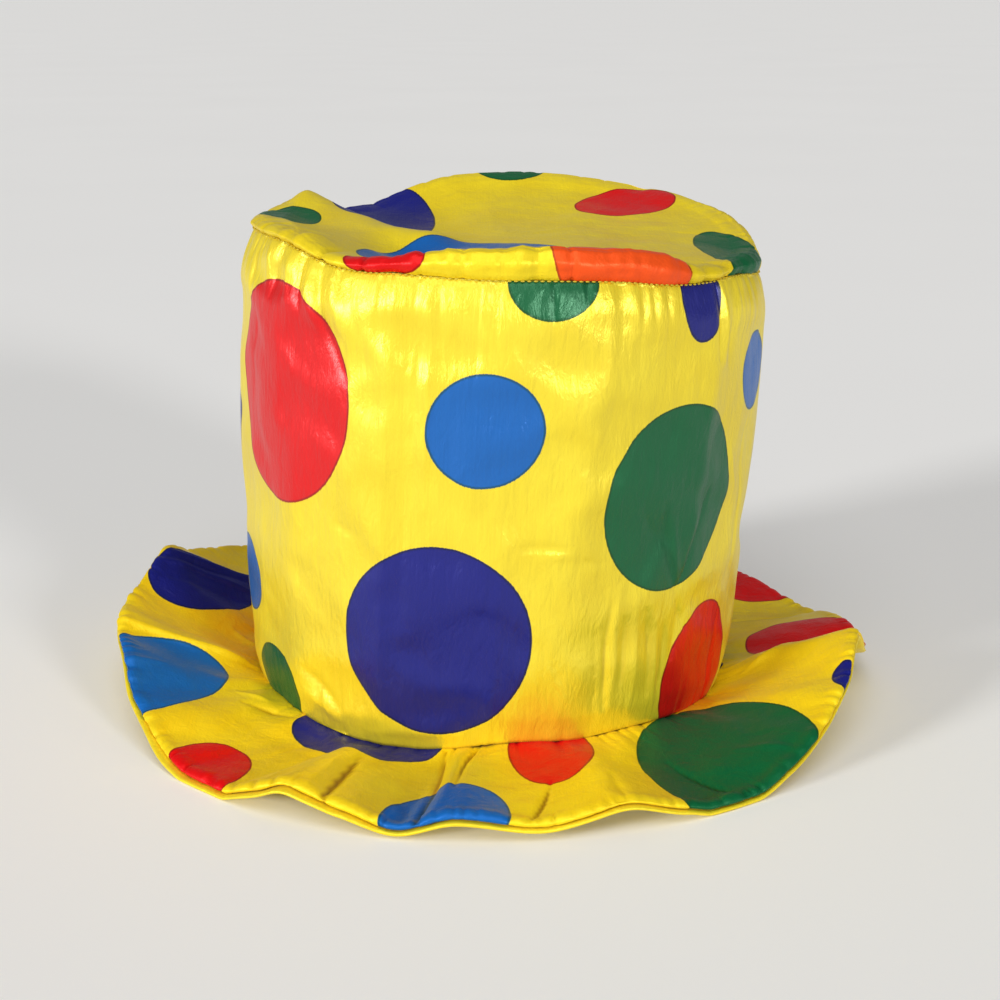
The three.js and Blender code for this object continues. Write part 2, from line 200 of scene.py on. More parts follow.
def folds(points, table, radius_of, unit):
    """Sum of bell-shaped ridges along straight lines in plan, as shares of the greatest."""
    total = np.zeros(points.shape[:-1])
    for start, start_reach, end, end_reach, rise, width in table:
        tail = polar(radius_of(start, start_reach), start)
        line = polar(radius_of(end, end_reach), end) - tail
        along = np.clip((points - tail) @ line / (line @ line), 0, 1)
        gap = np.linalg.norm(points - tail - along[..., None] * line, axis=-1)
        total += rise * bell(gap / (width * unit))
    return total


def creases(cloth, table, girth=0.0):
    """Sum of tapering creases. Each runs from one place on the cloth to another, bowed sideways
    by a parabola; across it the height falls as e to the minus distance over width, rounded at
    the crest, and faster on the sharp side, which is to the right of the way it runs."""
    total = np.zeros(cloth.shape[:-1])
    for x0, y0, x1, y1, bow, rise, width, sharp in table:
        length = math.hypot(x1 - x0, y1 - y0)
        ux, uy = (x1 - x0) / length, (y1 - y0) / length
        x = cloth[..., 0] - x0
        if girth:
            x = (x + girth / 2) % girth - girth / 2
        y = cloth[..., 1] - y0
        along = (x * ux + y * uy) / length
        held = np.clip(along, 0, 1)
        side = y * ux - x * uy - bow * 4 * held * (1 - held)
        wide = width * (0.5 + 0.5 * np.sin(math.pi * held))
        wide = np.where(side > 0, wide, wide * sharp)
        nip = CREST + CREST_SHARE * width
        gap = np.hypot(np.hypot(side, (along - held) * length), nip) - nip
        taper = np.sqrt(np.sin(math.pi * np.clip(held, TAPER_END, 1 - TAPER_END)))
        total += rise * taper * np.exp(-gap / wide)
    return total


def waves(cloth, length, stretch, seed, girth=0.0):
    """Soft unevenness of about -1 to 1: plane waves of random heading and phase, some length
    across the cloth and stretch times that up it. With a girth they meet again round the hat."""
    draw = np.random.default_rng(seed)
    heading = draw.uniform(0, math.pi, WAVE_COUNT)
    number = math.tau / (length * draw.uniform(0.6, 1.7, WAVE_COUNT))
    phase = draw.uniform(0, math.tau, WAVE_COUNT)
    across = number * np.cos(heading)
    up = number * np.sin(heading) / stretch
    if girth:
        across = np.round(across * girth / math.tau) * math.tau / girth
    total = np.zeros(cloth.shape[:-1])
    for i in range(WAVE_COUNT):
        total += np.cos(cloth[..., 0] * across[i] + cloth[..., 1] * up[i] + phase[i])
    return total * math.sqrt(1.0 / WAVE_COUNT)


def ridges(cloth, length, stretch, seed, girth=0.0):
    """Thin crests, 0 to 1, along the lines where a field of waves crosses zero."""
    return (1 - np.minimum(np.abs(waves(cloth, length, stretch, seed, girth=girth)), 1)) ** 5


# Form of the hat


def brim_radius(azimuth, share):
    """Base radius plus a share of the reach; the width lies along the cloth, so the reach is the
    square root of the width squared less the lift squared."""
    width = BRIM_WIDTH * curve(BRIM_EDGE, 2, azimuth, FULL_TURN)
    lift = BRIM_LIFT * curve(BRIM_EDGE, 1, azimuth, FULL_TURN)
    return BASE_RADIUS + share * np.sqrt(width * width - lift * lift)


def brim_joint(azimuth, share):
    """Height of the joint between the brim's layers: from the base to the edge by a power of the
    share, plus the folds, and never below where the brim lies flat."""
    base = BASE_WAVE * curve(BRIM_BASE, 1, azimuth, FULL_TURN)
    edge = BRIM_LIFT * curve(BRIM_EDGE, 1, azimuth, FULL_TURN)
    point = polar(brim_radius(azimuth, share), azimuth)
    fold = BRIM_FOLD * folds(point, BRIM_FOLDS, brim_radius, BRIM_WIDTH)
    height = base + (edge - base) * share**BRIM_BEND + fold * step(share, 0, FOLD_FADE)
    return np.maximum(height, LAYER_FLOOR)


def base_height(azimuth):
    """Where the crown's side stands on the brim."""
    return brim_joint(azimuth, np.zeros_like(azimuth)) + UPPER_LAYER + SEAM_GAP


def seam_height(azimuth):
    """Where the crown's side meets its top."""
    return CROWN_HEIGHT * curve(TOP_SEAM, 1, azimuth, FULL_TURN)


def side_radius(azimuth, share):
    """Base radius plus the flare's share, less where the seam is drawn in and less the dents."""
    drawn = curve(TOP_SEAM, 3, azimuth, FULL_TURN) * step(share, DRAW_START, 1)
    fade = step(share, 0, DENT_FADE) * step(1 - share, 0, DENT_FADE)
    dents = 0
    for at, spread, start, end, depth in CROWN_DENTS:
        upright = bell(2 * (share - (start + end) / 2) / (end - start))
        dents = dents + depth * bell(between(azimuth, at) / spread) * upright
    flare = CROWN_FLARE * (curve(CROWN_PROFILE, 1, share) - drawn)
    return BASE_RADIUS + flare - CROWN_DENT * dents * fade


def lean(share):
    """How far the crown has shifted to the right at a share of its height."""
    return CROWN_LEAN * share**LEAN_BEND


def box_middle():
    """Middle in plan of the brim's outline at the solids' facets, which is the origin there."""
    azimuth = FRONT + FULL_TURN * np.arange(SOLID_STEPS) / SOLID_STEPS
    past = UNDER_REACH * curve(BRIM_EDGE, 3, azimuth, FULL_TURN)
    outline = polar(brim_radius(azimuth, 1.0) + past, azimuth)
    return (outline.min(0) + outline.max(0)) / 2


MIDDLE = box_middle()


def placed(plan, height):
    """Points in the row frame from plan points about the hat's axis and heights."""
    return join([plan - MIDDLE, np.asarray(height)[..., None]], -1)


def grid(columns, rows):
    """Azimuths and row numbers of a grid, each of shape rows by columns."""
    azimuth = FRONT + FULL_TURN / 2 + FULL_TURN * np.arange(columns) / columns
    return np.meshgrid(azimuth, np.arange(rows), indexing="xy")


def normals(points):
    """Unit normals of a grid that closes round the hat: the cross product of the differences
    along its rows and its columns, outwards for rows that climb the outside."""
    across = np.roll(points, -1, 1) - np.roll(points, 1, 1)
    along = np.gradient(points, axis=0)
    cross = np.cross(across, along)
    return cross / np.maximum(np.linalg.norm(cross, axis=-1, keepdims=True), 1e-9)


# Printed dots: place on the cloth, half sizes, tilt in degrees, ink

RED, BLAZE, GREEN, SKY, NAVY = "red", "blaze", "green", "sky", "navy"
CLOTH_RADIUS = 102.0  # the side's cloth is measured round a tube of this radius
GIRTH = math.tau * CLOTH_RADIUS

# Crown's side: along the cloth from the front's middle, height above the surface
SIDE_DOTS = (
    (-93, 136, 38, 42, 10, RED), (-5, 130.5, 21, 21, 0, SKY), (-21, 50, 36, 37, 0, NAVY),
    (17, 184, 16.5, 14.5, 0, GREEN), (72, 99, 32.5, 36, 0, GREEN), (78, 175, 10.5, 18, 0, NAVY),
    (126, 138, 16, 15.5, 0, SKY), (97, 22, 24, 29, -8, RED), (-104, 14, 18, 17, 10, GREEN),
    (-133, 53, 16, 16, 0, SKY),
    (172, 90, 31, 29, 0, NAVY), (156, 22, 15, 15, 0, SKY), (212, 150, 22, 22, 0, RED),
    (216, 26, 21, 21, 0, GREEN), (246, 88, 37, 35, 0, SKY), (276, 158, 28, 26, 0, GREEN),
    (292, 30, 30, 32, 0, RED), (-272, 112, 38, 36, 0, NAVY), (-256, 28, 19, 19, 0, SKY),
    (-220, 66, 24, 24, 0, GREEN), (-222, 158, 20, 20, 0, RED), (-176, 116, 33, 31, 0, NAVY),
    (-176, 20, 27, 27, 0, RED), (-310, 172, 14, 14, 0, SKY),
)

# Crown's top: plan place about the panel's middle, the rolled rim laid out flat round it
TOP_DOTS = (
    (52, 59, 22, 16, -5, RED), (-52, 49, 22, 40, -3, NAVY), (44, -93, 29, 28, 0, BLAZE),
    (90, -28, 14, 42, 10, GREEN), (-43, -89, 17, 9, -35, RED), (-14, -55, 41, 34, 12, SKY),
    (3, 104, 17, 16, 0, GREEN), (-87, 6, 13, 13, 0, GREEN),
)

# Brim's upper layer: plan place about the hat's axis
BRIM_DOTS = (
    (122, 106, 38, 37, 0, RED), (139, 1, 29, 27, -5, RED), (23, -104, 16, 27, 3, RED),
    (-105, -110, 17, 20, -20, RED), (89, -106, 34, 46, 3, GREEN), (-128, 35, 16, 27, -45, NAVY),
    (-142, -57, 25, 42, -50, SKY), (139, -71, 6, 10, 5, NAVY), (-47, -84, 32, 18, -27, NAVY),
    (-15, -154, 23, 24, 0, SKY), (20, 128, 24, 22, 0, GREEN), (-62, 124, 22, 24, 0, RED),
    (92, -16, 6, 5, 0, NAVY),
)

# Relief of the cloth

# Side: from and to as places on the cloth, bow, rise (negative for a valley), width, sharp side
SIDE_CREASES = (
    (-43, 4, -40, 186, 0, 1.76, 15, 0.22), (-34, 60, -33, 182, 0, -0.68, 2.5, 1),
    (-30, 92, -28, 180, 1, -0.61, 1.4, 0.8), (-26, 100, -25, 172, 0, 0.54, 1.4, 1),
    (-9, 150, -9, 186, 0, -0.81, 1.3, 0.7), (-21, 156, -24, 187, 0, -0.61, 1.7, 0.6),
    (-118, 193, -118, 170, 0, -1.08, 2.5, 0.7), (-106, 192, -104, 174, 0, 1.08, 2.5, 0.8),
    (-98, 192, -99, 172, 0, -1.22, 2.5, 0.6), (-91, 191, -88, 172, -1, 1.35, 2.5, 0.8),
    (-84, 191, -80, 168, -1, -1.35, 2.1, 0.7), (-79, 189, -70, 162, -2, 1.22, 3, 0.6),
    (-73, 188, -57, 146, -3, -1.49, 2.1, 0.7), (-66, 187, -56, 158, -2, 0.94, 2.5, 0.8),
    (-60, 187, -50, 158, -1, -0.68, 2.1, 0.8), (-63, 92, -52, 88, 0, -0.68, 1.3, 0.8),
    (-84, 29, -62, 16, 1, -1.08, 1.7, 0.6), (-80, 19, -60, 10, 0, 0.81, 2.1, 0.8),
    (-50, 9, -10, 12, 2, 1.08, 3.4, 0.7), (17, 176, 20, 118, 0, -0.47, 6, 1),
    (31, 92, 42, 178, 2, 1.28, 13, 0.5), (0, 14, 3, 86, 0, 1.08, 9, 0.45),
    (77, 56, 87, 182, -2, 1.49, 12, 0.5), (91, 148, 90, 181, 0, 1.89, 2.2, 0.9),
    (87.5, 150, 87, 181, 0, -2.03, 1.4, 0.8), (97, 146, 98, 180, 0, -1.08, 2.5, 0.8),
    (76, 62, 66, 98, 1, -1.22, 1.5, 0.7), (76.5, 62, 71, 90, 0, 0.94, 1.5, 1),
    (77, 63, 91, 99, -1, -1.08, 1.7, 0.7), (79, 70, 84, 93, 0, 0.68, 1.7, 1),
    (76, 62, 84, 44, -1, -0.94, 1.5, 0.7), (68, 82, 59, 93, 1, -0.54, 1.4, 0.8),
    (45, 20, 46, 62, 1, -1.22, 1.5, 0.7), (48, 20, 49, 68, 0, 0.94, 2, 0.8),
    (52, 30, 53, 54, 0, -1.08, 1.5, 0.7), (57, 16, 57, 62, -1, 0.94, 2.2, 0.8),
    (65, 22, 62, 56, -1, -1.35, 1.7, 0.7), (69, 12, 67, 52, 0, 1.08, 2, 0.8),
    (71, 16, 72, 48, 0, -1.22, 1.7, 0.8), (77, 34, 79, 54, 0, -0.81, 1.7, 0.8),
    (41, 12, 40, 50, 0, -0.68, 2, 0.8), (58, 102, 60, 120, 0, 0.41, 1.7, 1),
    (9, 87, 26, 86, 0.6, -0.94, 1.1, 0.6), (16, 83, 30, 84, 0, 0.54, 1.3, 0.8),
    (30, 80, 41, 79, 0, -0.54, 1.1, 0.7), (105, 113, 110, 94, 0, 0.68, 1.7, 0.8),
    (118, 60, 122, 118, 2, -0.94, 2.5, 0.7), (108, 12, 112, 44, 0, -1.08, 2.1, 0.7),
)

# Top: plan places
TOP_CREASES = (
    (-8, 66, -5, 20, 1, 0.42, 4.5, 0.6), (22, 50, 30, -10, 2, 0.36, 6, 0.6),
    (-20, -92, -21, -110, 0, 0.84, 1.8, 0.8), (-14, -95, -16, -110, 0, -0.72, 1.8, 0.8),
    (0, -93, -2, -111, 0, -0.96, 1.8, 0.7), (6, -92, 4, -111, 0, 0.84, 1.8, 0.8),
    (12, -96, 11, -110, 0, -0.72, 1.8, 0.8), (-38, -84, -44, -102, 0, -0.84, 2.2, 0.8),
    (-31, -88, -34, -106, 0, 0.72, 2.2, 0.8), (40, -86, 46, -102, 0, -0.6, 2.2, 0.8),
    (56, -78, 62, -92, 0, 0.6, 2.7, 0.8), (-70, -40, -88, -52, 1, -1.08, 2.7, 0.7),
    (-64, -54, -80, -68, 1, 1.08, 3.1, 0.7), (-58, -62, -68, -80, 1, -0.96, 2.7, 0.7),
    (-78, -20, -98, -28, 1, 0.96, 3.1, 0.7), (74, -52, 90, -62, -1, -0.96, 2.7, 0.7),
    (82, -36, 100, -42, -1, 0.84, 2.7, 0.7), (88, 30, 68, 12, 2, 0.42, 6, 0.6),
)

# Brim: plan places
BRIM_CREASES = (
    (-47, -106, -59, -154, 0, -2.6, 1.1, 0.8), (-53, -108, -65, -146, 0, 1.16, 2.2, 0.9),
    (-16, -98, -27, -162, 1.5, -2.6, 1.1, 0.8), (-10, -100, -20, -159, 1, 1.01, 2.2, 1),
    (-3, -95, -12, -133, -1.5, -1.9, 1.1, 0.8), (22, -130, 14, -158, 1, -1.9, 1.1, 0.8),
    (-154, -22, -98, -19, -2, 1.89, 2.6, 0.6), (-147, -54, -130, -47, 0, 1.3, 1.5, 0.9),
    (-113, 14, -102, 7, 0, 1.3, 1.7, 0.8), (-97, -60, -77, -67, 0, -1.3, 1.7, 0.8),
    (-101, -50, -88, -57, 0, 1.01, 1.7, 0.8), (66, -108, 92, -131, -2, -1.45, 1.4, 0.8),
    (92, -102, 118, -110, 2, 0.87, 2.2, 0.7), (-148, 31, -108, 46, 0, 1.16, 1.1, 0.9),
    (-146, 35, -107, 51, 0, -1.3, 1.1, 0.9), (-144, 39, -106, 56, 0, 1.16, 1.1, 0.9),
    (-142, 43, -106, 61, 0, -1.16, 1.1, 0.9), (-140, 26, -106, 38, 0, -0.87, 1.5, 0.9),
    (-76, -118, -86, -146, 1, 1.01, 2.6, 0.8), (44, -128, 50, -156, -1, -1.01, 1.8, 0.8),
    (128, -92, 144, -88, 0, -1.3, 1.5, 0.8), (120, -104, 134, -108, 0, 1.16, 1.5, 0.8),
    (104, -32, 150, -24, 2, 1.16, 2.2, 0.8), (-33, -138, -40, -157, 1, 1.3, 1.9, 0.8),
    (0, 104, 2, 150, 2, -1.45, 2.2, 0.8), (64, 84, 92, 122, -2, 1.16, 3, 0.7),
    (-60, 88, -88, 124, 2, -1.3, 2.6, 0.8), (108, 42, 146, 52, -1, -1.01, 2.2, 0.8),
)

# Depths of the relief in millimetres; each field of waves or ridges ends in its random seed
SEAM_TUCK = 0.4  # how deep the cloth is pulled in where it is sewn
SEAM_WIDTH = 1.3
SIDE_THIN, SIDE_GATHER, SIDE_PUCKER = 0.5, 1.1, 0.5
TOP_THIN, TOP_PUCKER = 0.3, 1.1
BRIM_THIN, BRIM_GATHER, BRIM_CRIMP, BRIM_BEAD = 0.3, 0.7, 1.5, 0.6
SOFTEST = -0.75  # a valley presses the foam in by this share of its thickness at most


def side_relief(cloth, low, high):
    """How far the side's cloth stands off its form: soft unevenness, thin creases, gathers under
    the top seam and puckers over the brim, the charted creases, and a tuck at each seam. The
    charted creases are also given by themselves."""
    down, up = high - cloth[..., 1], cloth[..., 1] - low
    round_it = cloth * (1, 0)
    gather = ridges(round_it, 15, 1, 3, GIRTH) * bell(down / 16)
    pucker = ridges(round_it, 19, 1, 4, GIRTH) * bell(up / 13)
    uneven = 0.2 * waves(cloth, 46, 3.2, 5, GIRTH) + 0.09 * waves(cloth, 13, 3.5, 6, GIRTH)
    thin = ridges(cloth, 58, 3, 7, GIRTH) * step(waves(cloth, 80, 1.5, 8, GIRTH), 0, 1)
    tuck = bell(down / SEAM_WIDTH) + bell(up / SEAM_WIDTH)
    charted = creases(cloth, SIDE_CREASES, GIRTH)
    pulled = SIDE_GATHER * gather + SIDE_PUCKER * pucker + SEAM_TUCK * tuck
    return uneven - SIDE_THIN * thin - pulled + charted, charted


def top_relief(azimuth, cloth, to_seam, on_roll):
    """How far the top's cloth stands off its form: unevenness, puckers across the roll, and the
    tuck at the seam."""
    angle = np.stack([np.radians(azimuth) * CLOTH_RADIUS, 0 * azimuth], -1)
    pucker = ridges(angle, 17, 1, 13, GIRTH) * bell((to_seam - 5) / 12) * on_roll
    uneven = 0.3 * waves(cloth, 52, 1, 15) + 0.12 * waves(cloth, 18, 1, 16)
    thin = ridges(cloth, 70, 1, 17) * step(waves(cloth, 80, 1, 18), 0, 1)
    charted = creases(cloth, TOP_CREASES)
    tuck = SEAM_TUCK * bell(to_seam / SEAM_WIDTH)
    return uneven - TOP_THIN * thin - TOP_PUCKER * pucker - tuck + charted, charted


def brim_relief(azimuth, cloth, from_seam, to_edge):
    """How far the brim's cloth stands off its form: unevenness, gathers at the crown, crimps and
    a bead along the edge."""
    angle = np.stack([np.radians(azimuth) * BASE_RADIUS, 0 * azimuth], -1)
    girth = math.tau * BASE_RADIUS
    gather = ridges(angle, 14, 1, 23, girth) * bell(from_seam / 12)
    crimp = ridges(angle, 6, 1, 24, girth) * bell(to_edge / 5)
    bead = bell((to_edge - 3) / 2.4)
    uneven = 0.3 * waves(cloth, 48, 1, 25) + 0.12 * waves(cloth, 16, 1, 26)
    thin = ridges(cloth, 66, 1, 27) * step(waves(cloth, 80, 1, 28), 0, 1)
    charted = creases(cloth, BRIM_CREASES)
    pulled = BRIM_GATHER * gather + BRIM_CRIMP * crimp
    return uneven - BRIM_THIN * thin - pulled + BRIM_BEAD * bead + charted, charted


# Cloth simulation


def tube_faces(rows, columns, closed):
    """Four-sided faces of a grid that closes round the hat, and over its last row if closed."""
    last = rows if closed else rows - 1
    i, j = np.meshgrid(np.arange(last), np.arange(columns), indexing="ij")
    a, b = i * columns + j, i * columns + (j + 1) % columns
    under = ((i + 1) % rows) * columns
    return np.stack([a, b, under + (j + 1) % columns, under + j], -1).reshape(-1, 4)


SIM_SCALE = 10.0  # the solver is steadier on cloth metres across
SIM_FRAMES = 20
SEWN_ROWS = 2
START_UNEVEN = 0.2  # millimetres, so that the cloth has somewhere to begin to buckle
SLOW_ROUNDS = 60  # rounds of blur that leave the slow part of a movement


def resample(field, rows, columns):
    """A coarse grid's field on a fine one: cubic curves through four neighbours (Catmull-Rom),
    along the rows, which end, and along the columns, which close round the hat."""
    for axis, count, closed in ((0, rows, False), (1, columns, True)):
        held = field.shape[axis]
        at = np.arange(count) * (held / count if closed else (held - 1) / (count - 1))
        i = np.minimum(at.astype(int), held - 1)
        t = (at - i).reshape((-1, 1) if axis == 0 else (1, -1))
        near = [i + k for k in (-1, 0, 1, 2)]
        near = [n % held if closed else np.clip(n, 0, held - 1) for n in near]
        a, b, c, d = (np.take(field, n, axis) for n in near)
        field = b + t / 2 * (c - a + t * (2 * a - 5 * b + 4 * c - d + t * (3 * (b - c) + d - a)))
    return field


def blurred(field, rounds):
    """Repeated means of each place with its neighbours, round the hat and along the rows."""
    for _ in range(rounds):
        field = (np.roll(field, 1, 1) + field + np.roll(field, -1, 1)) / 3
        ends = join([field[:1], field, field[-1:]])
        field = (ends[:-2] + ends[1:-1] + ends[2:]) / 3
    return field


def buckles(points, flip, spare, cap):
    """How far cloth with something to spare buckles off a form, along its normals. The outer
    rows become cloth whose threads are longer than the form by a share, held at its ends, and
    the simulation lets it settle without gravity. The slow part of the movement is taken off,
    because the form has it already, and the rest is capped smoothly by a hyperbolic tangent."""
    rows, columns = points.shape[:2]
    outward = normals(points) * flip
    uneven = waves(points[..., :2] + points[..., 2:], 24, 2, 5)[..., None]
    start = points + outward * START_UNEVEN * uneven
    mesh = bpy.data.meshes.new("settling_cloth")
    scaled = start.reshape(-1, 3) * METRES * SIM_SCALE
    mesh.from_pydata(scaled.tolist(), [], tube_faces(rows, columns, False).tolist())
    cloth = in_scene("settling_cloth", mesh)
    number = np.arange(rows * columns).reshape(rows, columns)
    ends = join([number[:SEWN_ROWS].ravel(), number[-SEWN_ROWS:].ravel()])
    cloth.vertex_groups.new(name="sewn").add(ends.tolist(), 1.0, "REPLACE")
    modifier = cloth.modifiers.new("settling", "CLOTH")
    settings = modifier.settings
    settings.mass, settings.quality, settings.air_damping = 0.15, 5, 1.0
    settings.tension_stiffness = settings.compression_stiffness = 15
    settings.shear_stiffness, settings.bending_stiffness = 5, 2
    settings.vertex_group_mass = "sewn"
    settings.shrink_min = -spare
    settings.effector_weights.gravity = 0
    modifier.collision_settings.use_collision = False
    modifier.point_cache.frame_start, modifier.point_cache.frame_end = 1, SIM_FRAMES
    for frame_number in range(1, SIM_FRAMES + 1):
        bpy.context.scene.frame_set(frame_number)
    seen = bpy.context.evaluated_depsgraph_get()
    settled = bpy.data.meshes.new_from_object(cloth.evaluated_get(seen), depsgraph=seen)
    places = np.empty(rows * columns * 3, np.float32)
    settled.vertices.foreach_get("co", places)
    bpy.data.objects.remove(cloth)
    bpy.context.scene.frame_set(1)
    moved = ((places.reshape(points.shape) / (METRES * SIM_SCALE) - points) * outward).sum(-1)
    ripples = blurred(moved, 1) - blurred(moved, SLOW_ROUNDS)
    from_end = np.minimum(np.arange(rows), np.arange(rows)[::-1])[:, None]
    return cap * np.tanh(ripples / cap) * step(from_end, 1, 5)


# Surfaces: each gives points, cloth places, which points are outer face, and charted creases


def side_surface(columns, climb, within, buckle=None):
    """Crown's side: rows climb the outer face, turn in over the top edge, go down the inner face
    and turn out under the base. Without the simulated buckles it is the bare form."""
    share = join([np.linspace(0, 1, climb), [1, 1], np.linspace(1, 0, within), [0, 0]])
    rim = WALL * np.array([0.3, 0.7])
    depth = join([np.zeros(climb), rim, np.full(within, WALL), rim[::-1]])
    azimuth, row = grid(columns, len(share))
    share, depth = share[row], depth[row]
    low, high = base_height(azimuth) - SEAM_GAP, seam_height(azimuth) + SEAM_GAP  # cloth meets
    height = low + (high - low) * share
    plan = polar(side_radius(azimuth, share) - depth, azimuth)
    plan[..., 0] += lean(share)
    points = placed(plan, height)
    cloth = np.stack([np.radians(between(FRONT, azimuth)) * CLOTH_RADIUS, height], -1)
    valley = np.zeros_like(share)
    if buckle is not None:
        relief, charted = side_relief(cloth, low, high)
        relief = np.maximum(relief[:climb] + resample(buckle, climb, columns), SOFTEST * WALL)
        points[:climb] += normals(points[:climb]) * relief[..., None]
        valley[:climb] = charted[:climb]
    return points, cloth, (row < climb + 1) | (row >= len(share) - 2), valley


def top_surface(columns, panel, roll, within, buckle=None):
    """Crown's top: rows run from the panel's middle out to the rim, over the roll and down to
    the seam, then back along the inner face to the middle."""
    place = join([np.full(panel, ROLL_END), np.linspace(ROLL_END, 0, roll + 1)[1:]])
    reach = join([np.linspace(0, 1, panel + 1)[1:], np.ones(roll)])
    inner_reach = join([np.ones(within), np.linspace(1, 0, within + 2)[1:-1]])
    inner_place = join([np.linspace(0, ROLL_END, within), np.full(within, ROLL_END)])
    wall = join([np.zeros(len(reach)), np.ones(2 * within)])
    reach, place = join([reach, inner_reach]), join([place, inner_place])
    azimuth, row = grid(columns, len(reach))
    reach, place, wall = reach[row], place[row], wall[row]
    rim = side_radius(azimuth, np.ones_like(azimuth))
    seam = seam_height(azimuth) + SEAM_GAP
    rise = ROLL_HEIGHT * curve(TOP_SEAM, 2, azimuth, FULL_TURN)
    inward, up, tuck = (curve(ROLL_SECTION, i, place) for i in (1, 2, 3))
    turn = WALL / np.hypot(1 - tuck, tuck)
    rolled = rim - inward * ROLL_DEPTH - wall * turn * (1 - tuck)
    radius = np.where(reach < 1, (rim - ROLL_DEPTH) * reach, rolled)
    plan = polar(radius, azimuth)

    def panel_radius(at, share):
        return (side_radius(at, 1.0) - ROLL_DEPTH) * share

    fold = PANEL_FOLD * folds(plan, PANEL_FOLDS, panel_radius, BASE_RADIUS)
    rim_height = seam + RIM_END_UP * rise
    sag = curve(PANEL_SAG, 1, reach)
    flat = PANEL_HEIGHT + (rim_height - PANEL_HEIGHT) * sag + fold - wall * WALL
    fade = step(place, ROLL_END - 1.5, ROLL_END)
    height = np.where(reach < 1, flat, seam + up * rise - wall * turn * tuck + fold * fade)
    outer = panel + roll
    points = placed(plan + (CROWN_LEAN, 0), height)
    walk = np.linalg.norm(np.diff(points[:outer], axis=0), axis=-1)
    laid = np.zeros_like(radius)
    laid[:panel] = radius[:panel]
    laid[panel:outer] = radius[panel - 1] + np.cumsum(walk[panel - 1 :], 0)
    laid[outer:] = laid[outer - 1]
    cloth = polar(laid, azimuth)
    to_seam = laid[outer - 1] - laid
    valley = np.zeros_like(laid)
    if buckle is not None:
        on_roll = step(laid - radius[panel - 1], -8, 4)
        relief, charted = top_relief(azimuth, cloth, to_seam, on_roll)
        relief = (relief[:outer] + resample(buckle, outer, columns)) * step(reach[:outer], 0, 0.12)
        relief = np.maximum(relief, SOFTEST * WALL)
        points[:outer] -= normals(points[:outer]) * relief[..., None]
        valley[:outer] = charted[:outer]
    return points, cloth, row < outer, valley


def brim_rows(across, edge, below):
    """Rows of a brim layer: margin under the crown, upper face outwards, rounded edge, lower face
    inwards. Gives the share of the width, how much is past the base, and up from -1 to 1."""
    turn = np.linspace(math.pi / 2, -math.pi / 2, edge + 2)[1:-1]
    faces = [np.linspace(0, 1, across), np.ones(edge), np.linspace(1, 0, below)]
    share = join([[0], *faces, [0]])
    margin = np.zeros(len(share))
    margin[[0, -1]] = 1
    out = join([np.zeros(across + 1), np.cos(turn), np.zeros(below + 1)])
    up = join([np.ones(across + 1), np.sin(turn), -np.ones(below + 1)])
    return share, margin, out, up


def brim_surface(bottom, top, past, columns, across, edge, below, buckle=None):
    """A brim layer between two heights above the joint, which reaches some way past the width
    where the table says so. Its edge is a half ellipse."""
    share, margin, out, up = brim_rows(across, edge, below)
    azimuth, row = grid(columns, len(share))
    share, margin, out, up = share[row], margin[row], out[row], up[row]
    bulge = (top - bottom) * EDGE_BULGE
    full = brim_radius(azimuth, 1.0) + past * curve(BRIM_EDGE, 3, azimuth, FULL_TURN)
    body = full - bulge
    radius = BASE_RADIUS + share * (body - BASE_RADIUS) + out * bulge
    radius = np.where(margin > 0, OPENING_RADIUS, radius)
    real_share = (radius - BASE_RADIUS) / (brim_radius(azimuth, 1.0) - BASE_RADIUS)
    joint = brim_joint(azimuth, np.clip(real_share, 0, 1))
    height = joint + (top + bottom) / 2 + up * (top - bottom) / 2
    points = placed(polar(radius, azimuth), height)
    cloth = polar(radius + (1 - up) * (top - bottom) / 2, azimuth)
    shown = across + 1 + edge
    valley = np.zeros_like(radius)
    if buckle is not None:
        relief, charted = brim_relief(azimuth, cloth, radius - BASE_RADIUS, full - radius)
        relief = (relief * (1 + up) / 2)[:shown] + resample(buckle, shown, columns)
        relief = np.maximum(relief, SOFTEST * (top - bottom))
        points[:shown] -= normals(points[:shown]) * relief[..., None]
        valley[:shown] = charted[:shown]
    return points, cloth, row < shown, valley


# Meshes


def dot_fields(cloth, table, girth=0.0):
    """For each cloth place, the distance in millimetres to the nearest dot's edge, negative
    inside it, and that dot's ink. An ellipse's distance is (r - 1) r over the gradient's length,
    where r is the place's distance in half sizes."""
    nearest = np.full(cloth.shape[:-1], 1e3)
    ink = np.zeros(cloth.shape[:-1], int)
    for i, (x0, y0, half_x, half_y, tilt, _) in enumerate(table):
        x = cloth[..., 0] - x0
        if girth:
            x = (x + girth / 2) % girth - girth / 2
        y = cloth[..., 1] - y0
        c, s = math.cos(math.radians(tilt)), math.sin(math.radians(tilt))
        u, v = (x * c + y * s) / half_x, (y * c - x * s) / half_y
        r = np.hypot(u, v)
        gap = (r - 1) * r / np.maximum(np.hypot(u / half_x, v / half_y), 1e-6)
        closer = gap < nearest
        nearest = np.where(closer, gap, nearest)
        ink = np.where(closer, i, ink)
    return nearest, ink


def linear(code):
    """Linear red, green and blue of an sRGB hex colour."""
    parts = [int(code[i : i + 2], 16) / 255 for i in (1, 3, 5)]
    return [p / 12.92 if p <= 0.04045 else ((p + 0.055) / 1.055) ** 2.4 for p in parts]


# BLAZE is the orange-red of a single dot on the front of the roll, lighter and more orange than the red
INKS = {RED: "#DC0408", BLAZE: "#F65412", GREEN: "#005F34", SKY: "#0F62B2", NAVY: "#141A7A"}


def cap_faces(row, pole, columns):
    """Triangles between a row of points and a pole."""
    j = np.arange(columns)
    following = row * columns + (j + 1) % columns
    return np.stack([row * columns + j, np.full(columns, pole), following], -1)


